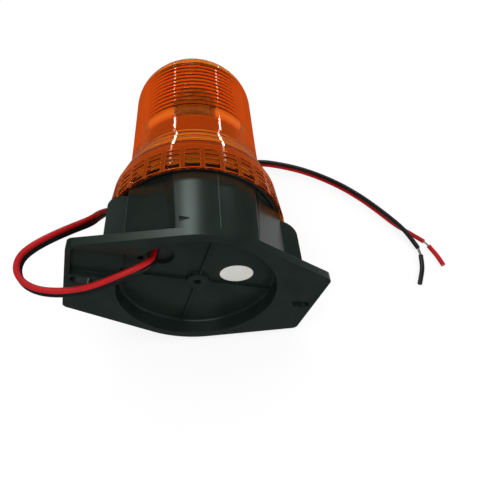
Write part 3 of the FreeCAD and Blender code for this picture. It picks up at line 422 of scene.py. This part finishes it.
def painted_glow_shares(tree, axes, across, outwards, rounded):
    """Two shares of painted glow, for edges and bands and for the long way through the dye, on outer faces only."""
    true = add(tree, "ShaderNodeNewGeometry").outputs["Normal"]
    slant = add(tree, "ShaderNodeLayerWeight", {"Blend": 0.5, "Normal": outwards}).outputs["Facing"]
    bars = painted_edge_glow(tree, axes, across, rounded, true)
    less = add(tree, "ShaderNodeMapRange", {0: slant, 1: 0.3, 2: 0.6, 3: 1.0, 4: 0.4})
    bands = add(tree, "ShaderNodeMath", {0: by_height(tree, axes, PAINTED_GLOW_AT_MM), 1: less.outputs[0]},
                operation="MULTIPLY")
    lines = add(tree, "ShaderNodeMath", {0: bars, 1: bands.outputs[0]}, operation="MAXIMUM")
    more = add(tree, "ShaderNodeMapRange", {0: slant, 1: 0.55, 2: 0.75, 3: 0.0, 4: PAINTED_LONG_WAY_GLOW})
    painted_long_way = add(tree, "ShaderNodeMath", {0: more.outputs[0], 1: by_height(tree, axes, PAINTED_LONG_WAY_MM)},
                   operation="MULTIPLY")
    faces = add(tree, "ShaderNodeVectorMath", {0: outwards, 1: true}, operation="DOT_PRODUCT")
    outer = add(tree, "ShaderNodeMath", {0: faces.outputs["Value"], 1: OUTER_FACE}, operation="GREATER_THAN")
    shares = [add(tree, "ShaderNodeMath", {0: glow.outputs[0], 1: outer.outputs[0]}, operation="MULTIPLY")
              for glow in (lines, painted_long_way)]
    return [share.outputs[0] for share in shares]


print("grip cells are deeper than", CELL_DEPTH_MM, "mm")


# %% [markdown]
# ## Lands between the rings
# Between two prism grooves lies a narrow flat land, and a lamp shows in it as one bright dot. The rounded-edge
# normal would smear that dot, so on the lands the normal points straight outwards.

# %% Flat lands
RING_ZONE_MM = (110.5, 158.0)
RING_PITCH_MM = 4.05
RING_LAND_MM = 1.2
LAND_BLEND_MM = 0.1


def ring_lands(tree, axes, outwards, rounded):
    """The rounded normal, but straight outwards on the flat lands between the ring grooves."""
    level = add(tree, "ShaderNodeMath", {0: axes.outputs["Z"], 1: RING_ZONE_MM[0] * MM}, operation="SUBTRACT")
    wave = add(tree, "ShaderNodeMath", {0: level.outputs[0], 1: RING_PITCH_MM / 2 * MM}, operation="PINGPONG")
    land = add(tree, "ShaderNodeMapRange", {0: wave.outputs[0], 1: (RING_LAND_MM - LAND_BLEND_MM) * MM,
                                            2: (RING_LAND_MM + LAND_BLEND_MM) * MM, 3: 1.0, 4: 0.0})
    low = add(tree, "ShaderNodeMath", {0: level.outputs[0], 1: 0.0}, operation="GREATER_THAN")
    high = add(tree, "ShaderNodeMath", {0: axes.outputs["Z"], 1: RING_ZONE_MM[1] * MM}, operation="LESS_THAN")
    zone = add(tree, "ShaderNodeMath", {0: low.outputs[0], 1: high.outputs[0]}, operation="MULTIPLY")
    flat = add(tree, "ShaderNodeMath", {0: land.outputs[0], 1: zone.outputs[0]}, operation="MULTIPLY")
    mixed = add(tree, "ShaderNodeMix", {0: flat.outputs[0], 4: rounded, 5: outwards}, data_type="VECTOR")
    return add(tree, "ShaderNodeVectorMath", {0: mixed.outputs[1]}, operation="NORMALIZE").outputs[0]


print("rings", int((RING_ZONE_MM[1] - RING_ZONE_MM[0]) / RING_PITCH_MM))


# %% [markdown]
# ## Amber acrylic
# The lens is clear amber acrylic, polished by its mould. A see-through colour would look like tinted film, so it is
# a real refracting wall with acrylic's IOR: light loses blue and green on the way through, once for each wall. The
# smooth band is thinner and paler, and the collar is thicker, deeper and a little less polished. The glow is
# painted: lit dye that scatters light, orange along the edges and redder on the long way through.

# %% Amber lens
EDGE_ROUND_MM = 0.5


def amber_acrylic():
    """Clear amber plastic, with a painted glow of lit dye where light would come out of it."""
    material, tree = new_material("acrylic_amber_polished")
    place = add(tree, "ShaderNodeTexCoord")
    axes = add(tree, "ShaderNodeSeparateXYZ", {"Vector": place.outputs["Object"]})
    across = add(tree, "ShaderNodeCombineXYZ", {"X": axes.outputs["X"], "Y": axes.outputs["Y"]}).outputs[0]
    turned = add(tree, "ShaderNodeVectorTransform", {"Vector": across}, vector_type="NORMAL",
                 convert_from="OBJECT", convert_to="WORLD")
    outwards = add(tree, "ShaderNodeVectorMath", {0: turned.outputs[0]}, operation="NORMALIZE").outputs[0]
    rounded = add(tree, "ShaderNodeBevel", {"Radius": EDGE_ROUND_MM * MM}, samples=6).outputs["Normal"]
    painted_edge_share, painted_deep_share = painted_glow_shares(tree, axes, across, outwards, rounded)
    above_grip = by_height(tree, axes, ABOVE_GRIP_MM)
    upper = add(tree, "ShaderNodeMix", {0: by_height(tree, axes, THIN_WALL_MM), 6: linear("#F28426"),
                                        7: linear("#FCC070")}, data_type="RGBA")
    tint = add(tree, "ShaderNodeMix", {0: above_grip, 6: linear("#BE641E"), 7: upper.outputs[2]}, data_type="RGBA")
    polish = add(tree, "ShaderNodeMapRange", {0: above_grip, 3: 0.07, 4: 0.04})
    wall = add(tree, "ShaderNodeBsdfPrincipled", {
        "Base Color": tint.outputs[2],
        "Roughness": polish.outputs[0],
        "IOR": 1.49,
        "Transmission Weight": 1.0,
        "Specular Tint": linear("#FFB070"),
        "Normal": ring_lands(tree, axes, outwards, rounded),
    })
    # The colours of the painted glow: deeper on the collar, brighter above it.
    lit = add(tree, "ShaderNodeMix", {0: above_grip, 6: linear("#EE6013"), 7: linear("#F68C22")}, data_type="RGBA")
    shine_through = add(tree, "ShaderNodeMapRange", {0: above_grip, 3: 0.15, 4: 0.5})
    # Each share mixes in a painted glow: lit dye, part diffuse and part translucent.
    for share, colour in ((painted_deep_share, linear("#F0580E")), (painted_edge_share, lit.outputs[2])):
        near = add(tree, "ShaderNodeBsdfDiffuse", {"Color": colour})
        through = add(tree, "ShaderNodeBsdfTranslucent", {"Color": colour})
        painted_glow = add(tree, "ShaderNodeMixShader", {0: shine_through.outputs[0], 1: near.outputs[0],
                                                2: through.outputs[0]})
        wall = add(tree, "ShaderNodeMixShader", {0: share, 1: wall.outputs[0], 2: painted_glow.outputs[0]})
    add(tree, "ShaderNodeOutputMaterial", {"Surface": wall.outputs[0]})
    return material


dress(amber_acrylic(), "lens")
print("lens at", [round(v, 4) for v in nodes["lens"].matrix_world.translation])


# %% [markdown]
# ## Wires, strands and screws
# The insulation is extruded PVC, smooth along the wire with a soft wide gloss. The strands are tinned copper, the
# screws zinc-plated steel, and the coil enamelled copper. A metal could be one flat colour, but plating is never
# quite even, so its tone and its gloss drift over spots 0.8 mm across.

# %% Insulation and metals
SPOT_MM = 0.8


def plated(name, dark, light, rough):
    """A metal with a slightly uneven finish."""
    material, tree = new_material(name)
    place = add(tree, "ShaderNodeTexCoord").outputs["Object"]
    spots = add(tree, "ShaderNodeTexNoise", {"Vector": place, "Scale": 1 / (SPOT_MM * MM)}).outputs["Fac"]
    share = add(tree, "ShaderNodeMapRange", {0: spots, 1: NOISE_LOW, 2: NOISE_HIGH}).outputs[0]
    tone = add(tree, "ShaderNodeMix", {0: share, 6: linear(dark), 7: linear(light)}, data_type="RGBA")
    gloss = add(tree, "ShaderNodeMapRange", {0: spots, 1: NOISE_LOW, 2: NOISE_HIGH, 3: rough - 0.08, 4: rough + 0.08})
    shader = add(tree, "ShaderNodeBsdfPrincipled", {
        "Base Color": tone.outputs[2],
        "Roughness": gloss.outputs[0],
        "Metallic": 1.0,
    })
    add(tree, "ShaderNodeOutputMaterial", {"Surface": shader.outputs[0]})
    return material


# Extruded PVC: strong even colour, a soft highlight along the wire.
pvc_red = moulded("pvc_red_extruded", "#980E12", "#A81519", 0.34, 0.01, 1.2, sheen="#C89C9C")
pvc_black = moulded("pvc_black_extruded", "#0C0D0D", "#131415", 0.36, 0.01, 1.2)
# Tinned copper: bright, a little cloudy. Zinc: cooler and greyer. Enamelled copper: brown-red under a clear skin.
tinned_copper = plated("copper_tinned", "#B9B4AC", "#D8D3CB", 0.32)
zinc = plated("steel_zinc_plated", "#9A9C9E", "#C2C4C6", 0.34)
copper_enamel = plated("copper_enamelled", "#8E4A22", "#B5652F", 0.3)

dress(pvc_red, red_lead, "red_slug", "inner_leads", "red_wire")
dress(pvc_black, black_lead, "black_slug", "black_wire")
dress(tinned_copper, red_ends, black_ends, "red_strands", "black_strands")
dress(zinc, "cover_screws", "foot_screws", "board_screws")
dress(copper_enamel, "choke_coil")
print("materials", len(bpy.data.materials))


# %% [markdown]
# ## Inner parts, seals and the label
# Behind the amber wall stand pale moulded parts, which is why the lens looks light in the middle. They are all
# satin plastics, so one recipe with other tones gives each of them, and no two need a shader of their own.

# %% Other finishes
# Moulded rubber: dull, with almost no highlight.
rubber_black = moulded("rubber_black_moulded", "#17191A", "#222526", 0.6)
# Grey and pale ABS: satin and light, so that they show through the lens.
grey_abs = moulded("abs_grey_moulded", "#D2D0CA", "#DEDCD6", 0.45)
pale_abs = moulded("abs_pale_grey_moulded", "#DDDBD5", "#E8E6E0", 0.45)
# Solder mask: a smooth lacquer. Phosphor: a clear gel over yellow. Epoxy: fine and matt.
white_mask = moulded("solder_mask_white", "#D2D0C8", "#E2E0D8", 0.35)
green_mask = moulded("solder_mask_green", "#0F4A26", "#18602F", 0.35)
phosphor = moulded("led_phosphor_yellow", "#D8B030", "#E8C445", 0.3)
epoxy_black = moulded("epoxy_black_moulded", "#1A1B1C", "#262829", 0.5)
# Nylon: waxy green. White PVC: even, softly glossy. Coated paper: off-white and matt.
terminal_green = moulded("nylon_green_moulded", "#1C6A3A", "#247C46", 0.4)
white_pvc = moulded("pvc_white_extruded", "#D8D8D4", "#E6E6E2", 0.35)
paper_white = moulded("paper_white_coated", "#BDBCB6", "#C6C5C0", 0.5)

dress(rubber_black, "lens_seal", "wire_grommet")
dress(grey_abs, "column_foot", "led_carrier")
dress(pale_abs, "drum_cover")
dress(white_mask, "led_boards")
dress(phosphor, "leds")
dress(green_mask, "driver_board")
dress(epoxy_black, "driver_chip", "switch_transistor", "filter_capacitors")
dress(terminal_green, "wire_terminal")
dress(white_pvc, "lamp_leads")
dress(paper_white, "oval_label")
print("materials", len(bpy.data.materials))


# %% [markdown]
# ## White table
# The beacon lies on a white table. In the beacon's own frame that table is an upright plane behind it. More light
# would make the table white but would also bleach the beacon. So the table shines white to the camera and through
# the lens, and a fifth of it is lit near the beacon, where the soft shadow falls. The glossy base mirrors a dim
# table, apart from a painted bright patch beside its right panel, which is a painted reflection on the base. Seen
# from behind, the table is clear.

# %% Lay the table
TABLE_DOWN = Vector((0.352, 0.936, 0.0)).normalized()
TABLE_MM = 51.4
TABLE_HALF_M = 6.0
side = Vector((0, 0, 1))
across = side.cross(TABLE_DOWN)
middle = TABLE_DOWN * TABLE_MM * MM
corners = [middle + (across * u + side * v) * TABLE_HALF_M for u, v in ((-1, -1), (1, -1), (1, 1), (-1, 1))]
table_mesh = bpy.data.meshes.new("table")
table_mesh.from_pydata(corners, [], [(0, 1, 2, 3)])
if table_mesh.polygons[0].normal.dot(TABLE_DOWN) > 0:
    table_mesh.flip_normals()
table = bpy.data.objects.new("table", table_mesh)
bpy.context.scene.collection.objects.link(table)
print("table", 2 * TABLE_HALF_M, "m wide")

# %% Whiten the table
WHITE_SHARE = 0.8
DIM_MIRROR = 0.1
SHADOW_M = (0.25, 0.6)
# Where the table shows a painted bright patch to glossy rays, for a painted reflection on the base's right panel.
PAINTED_PATCH_X_M = (0.12, 0.17)
PAINTED_PATCH_Z_M = (0.19, 0.22)


def white_table():
    """White to the camera and glass, dim to gloss but for a painted bright patch, lit enough near the beacon to keep
    its shadow.
    """
    material, tree = new_material("table_white_matt")
    path = add(tree, "ShaderNodeLightPath")
    place = add(tree, "ShaderNodeTexCoord").outputs["Object"]
    axes = add(tree, "ShaderNodeSeparateXYZ", {"Vector": place})
    mirror = add(tree, "ShaderNodeMath", {0: path.outputs["Is Glossy Ray"], 1: path.outputs["Is Transmission Ray"]},
                 operation="SUBTRACT", use_clamp=True)
    beside = add(tree, "ShaderNodeMapRange", {0: axes.outputs["X"], 1: PAINTED_PATCH_X_M[0], 2: PAINTED_PATCH_X_M[1]})
    below = add(tree, "ShaderNodeMapRange", {0: axes.outputs["Z"], 1: PAINTED_PATCH_Z_M[0], 2: PAINTED_PATCH_Z_M[1], 3: 1.0, 4: 0.0})
    painted_patch = add(tree, "ShaderNodeMath", {0: beside.outputs[0], 1: below.outputs[0]}, operation="MULTIPLY")
    dim = add(tree, "ShaderNodeMapRange", {0: painted_patch.outputs[0], 3: DIM_MIRROR})
    level = add(tree, "ShaderNodeMix", {"Factor": mirror.outputs[0], "A": 1.0, "B": dim.outputs[0]})
    glow = add(tree, "ShaderNodeEmission", {"Color": linear("#FFFFFF"), "Strength": level.outputs[0]})
    glass = add(tree, "ShaderNodeMix", {"Factor": path.outputs["Is Transmission Ray"], "A": mirror.outputs[0],
                                        "B": WHITE_SHARE})
    away = add(tree, "ShaderNodeVectorMath", {0: place}, operation="LENGTH")
    seen = add(tree, "ShaderNodeMapRange", {0: away.outputs["Value"], 1: SHADOW_M[0], 2: SHADOW_M[1], 3: WHITE_SHARE})
    share = add(tree, "ShaderNodeMix", {"Factor": path.outputs["Is Camera Ray"], "A": glass.outputs[0],
                                        "B": seen.outputs[0]})
    lit = add(tree, "ShaderNodeBsdfDiffuse", {"Color": linear("#F3F3F3")})
    front = add(tree, "ShaderNodeMixShader", {0: share.outputs[0], 1: lit.outputs[0], 2: glow.outputs[0]})
    clear = add(tree, "ShaderNodeBsdfTransparent")
    facing = add(tree, "ShaderNodeNewGeometry")
    both = add(tree, "ShaderNodeMixShader", {0: facing.outputs["Backfacing"], 1: front.outputs[0],
                                             2: clear.outputs[0]})
    add(tree, "ShaderNodeOutputMaterial", {"Surface": both.outputs[0]})
    return material


table_mesh.materials.append(white_table())
print(table_mesh.materials[0].name)


# %% [markdown]
# ## Room light
# The room lights the beacon evenly. A picture of a room round the beacon would do, but a plain white world with a
# level for each kind of ray is easier to set: white to the camera and through the lens, a little less on matt
# surfaces, and nearly black in the gloss, so that the black base stays black.

# %% World
MATT_LEVEL = 0.85
GLOSS_LEVEL = 0.05
GLASS_LEVEL = 0.8
CAMERA_LEVEL = 1.0

world = bpy.data.worlds.new("studio")
world.use_nodes = True
bpy.context.scene.world = world
tree = world.node_tree
tree.nodes.clear()
path = add(tree, "ShaderNodeLightPath")
room = add(tree, "ShaderNodeMix", {"Factor": path.outputs["Is Diffuse Ray"], "A": GLOSS_LEVEL, "B": MATT_LEVEL})
glass = add(tree, "ShaderNodeMix", {"Factor": path.outputs["Is Transmission Ray"], "A": room.outputs[0],
                                    "B": GLASS_LEVEL})
strength = add(tree, "ShaderNodeMix", {"Factor": path.outputs["Is Camera Ray"], "A": glass.outputs[0],
                                       "B": CAMERA_LEVEL})
sky = add(tree, "ShaderNodeBackground", {"Color": linear("#FFFFFF"), "Strength": strength.outputs[0]})
add(tree, "ShaderNodeOutputWorld", {"Surface": sky.outputs[0]})
bpy.context.scene.view_settings.view_transform = "Standard"
print("world", world.name)


# %% [markdown]
# ## Lamps
# Two narrow strips draw the bright streaks on the lens, and smaller ones repeat them on the stepped bands and the
# ring lands, which mirror other directions. Each was placed by mirroring the camera's ray in the lens, which is
# surer than moving lamps about by eye. A window lights the drum's front, a key and a fill light the underside.

# %% Place the lamps
AIM = Vector((0, 0, 0.09))
# Name, azimuth and elevation in degrees, distance, width and height in metres, watts. Azimuth 0 is the front.
LAMPS = [
    ("strip_left", -50, 52.4, 1.2, 0.04, 0.084, 0.27),
    ("strip_left_far", -78, 75.5, 1.2, 0.022, 0.05, 0.09),
    ("strip_left_high", -52, 58.4, 1.2, 0.025, 0.1, 0.06),
    ("strip_right", 32.6, 52.4, 1.2, 0.04, 0.084, 0.27),
    ("strip_right_far", 65, 73.3, 1.2, 0.022, 0.05, 0.09),
    ("strip_right_high", 32, 58.4, 1.2, 0.025, 0.1, 0.06),
    ("window", -23, 37, 1.2, 0.28, 0.4, 1.75),
    ("key", -20, -18, 1.3, 0.9, 0.9, 5.0),
    ("fill", -14, -48, 1.2, 0.8, 0.8, 3.0),
]


def softbox(name, azimuth, elevation, distance, width, height, watts):
    """An area lamp that looks at the beacon; azimuth turns towards +X."""
    a, e = math.radians(azimuth), math.radians(elevation)
    towards = Vector((math.sin(a) * math.cos(e), -math.cos(a) * math.cos(e), math.sin(e)))
    data = bpy.data.lights.new(name, "AREA")
    data.shape = "RECTANGLE"
    data.size = width
    data.size_y = height
    data.energy = watts
    made = bpy.data.objects.new(name, data)
    made.location = AIM + towards * distance
    made.rotation_euler = towards.to_track_quat("Z", "Y").to_euler()
    bpy.context.scene.collection.objects.link(made)
    return made


lamps = {row[0]: softbox(*row) for row in LAMPS}
for lamp in lamps.values():
    lamp.visible_transmission = False
lamps["fill"].visible_glossy = False
print("lamps", len(lamps))
